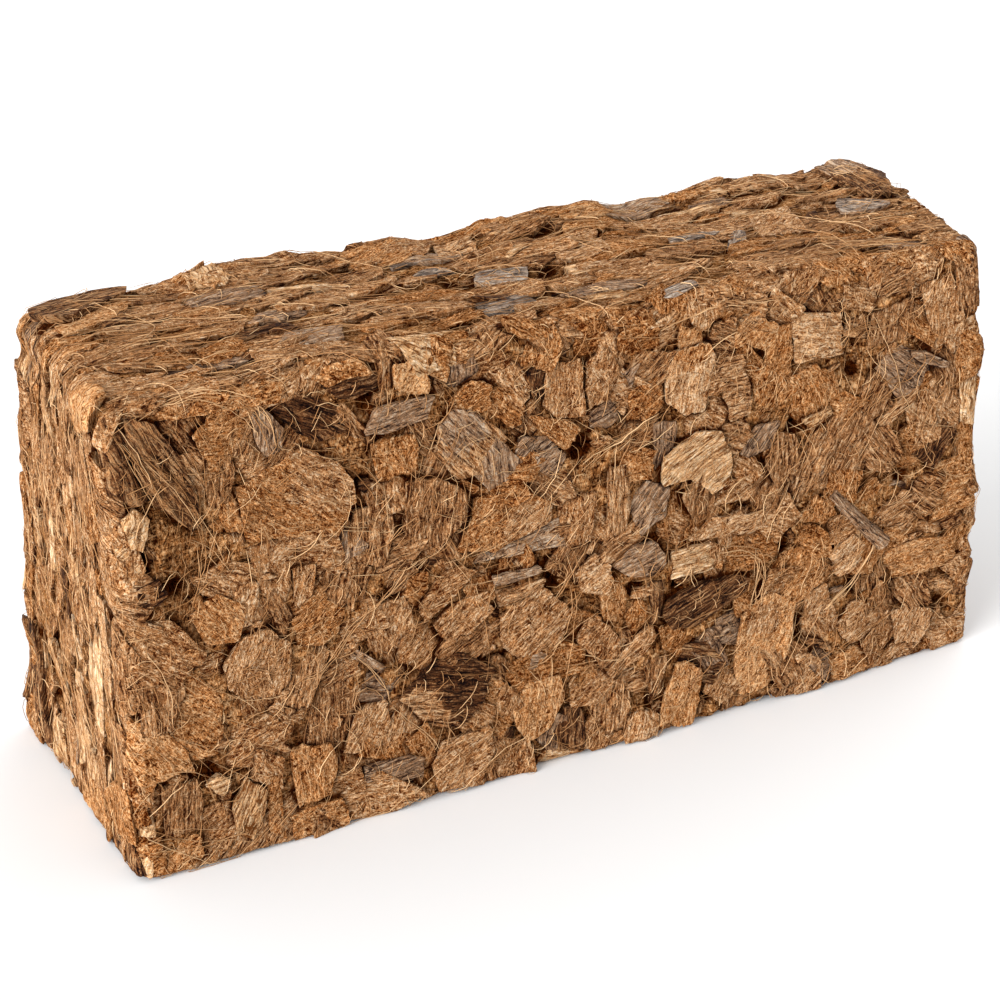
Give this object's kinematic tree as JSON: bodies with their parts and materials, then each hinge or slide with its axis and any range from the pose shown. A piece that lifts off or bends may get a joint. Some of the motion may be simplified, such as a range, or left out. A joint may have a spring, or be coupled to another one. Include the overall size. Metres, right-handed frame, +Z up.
{
  "type": "coconut coir bale",
  "caption": "Pressed brick of coconut husk chips and coir fibre with a rough, chip-studded surface, rounded edges and a flat base to stand on.",
  "frame": {"origin": "middle of the flat base that the brick stands on", "axes": "+X along the brick's length, +Y from its front face to its back face, +Z up from the base"},
  "size_m": [0.2064, 0.0676, 0.1039],
  "materials": {
    "packed_husk": "matt, fibrous, mixed brown",
    "tan_pith": "matt, spongy, stippled with short fibre ends",
    "orange_pith": "matt, felted, rusty orange",
    "brown_husk": "matt, ribbed with coarse fibres",
    "grey_bark": "weathered, dry, slightly smoother than the pith",
    "dark_bark": "dark outer skin with a faint dull sheen",
    "pale_straw": "matt, pale, dry"
  },
  "bodies": {
    "root": {"packed_husk_block": "packed_husk", "corner_bark_fold": "grey_bark", "long_dark_wedge_chip": "dark_bark", "folded_grey_bark_chip": "grey_bark", "broad_rust_chip": "orange_pith", "pale_splinter_chip": "pale_straw", "slate_scrap_chip": "dark_bark", "grey_slab_chip": "grey_bark", "ribbed_orange_chip": "orange_pith", "brown_fibrous_chip": "brown_husk", "small_rust_chip": "orange_pith", "light_tan_chip": "tan_pith", "ridged_brown_chip": "brown_husk", "red_brown_chip": "brown_husk", "slanted_orange_chip": "orange_pith", "upright_tan_chip": "tan_pith", "tall_tan_chip": "tan_pith", "ribbed_grey_chip": "brown_husk", "upper_orange_chip": "orange_pith", "palest_chip": "pale_straw", "violet_grey_chip": "grey_bark", "upright_plank_chip": "brown_husk", "square_tan_chip": "tan_pith", "oval_brown_chip": "brown_husk", "grey_sliver_chip": "grey_bark", "tall_right_chip": "tan_pith", "round_tan_chip": "tan_pith", "ridged_bark_chip": "brown_husk", "pale_triangle_chip": "pale_straw", "rust_column_chip": "orange_pith", "tan_ledge_chip": "tan_pith", "two_tone_bark_chip": "dark_bark", "mottled_grey_chip": "grey_bark", "light_lower_chip": "tan_pith", "round_orange_chip": "orange_pith", "dark_stub_chip": "dark_bark", "cross_fibre_chip": "tan_pith", "grey_slat_chip": "grey_bark", "dark_bark_boat_chip": "dark_bark", "rose_grey_chip": "grey_bark", "straw_chip": "pale_straw", "grey_bow_chip": "grey_bark", "tombstone_chip": "orange_pith", "slanted_plank_chip": "tan_pith", "golden_felt_chip": "orange_pith", "small_square_chip": "tan_pith", "long_rust_chip": "orange_pith", "light_orange_chip": "tan_pith", "overhanging_dark_chip": "dark_bark", "pale_beige_chip": "pale_straw", "silver_left_chip": "grey_bark", "silver_middle_chip": "grey_bark", "silver_strip_chip": "grey_bark", "silver_front_chip": "grey_bark", "silver_right_chip": "grey_bark", "curled_bark_chip": "dark_bark", "pale_end_strip": "pale_straw", "rust_end_fold": "orange_pith", "grey_twig": "grey_bark"}
  },
  "joints": []
}
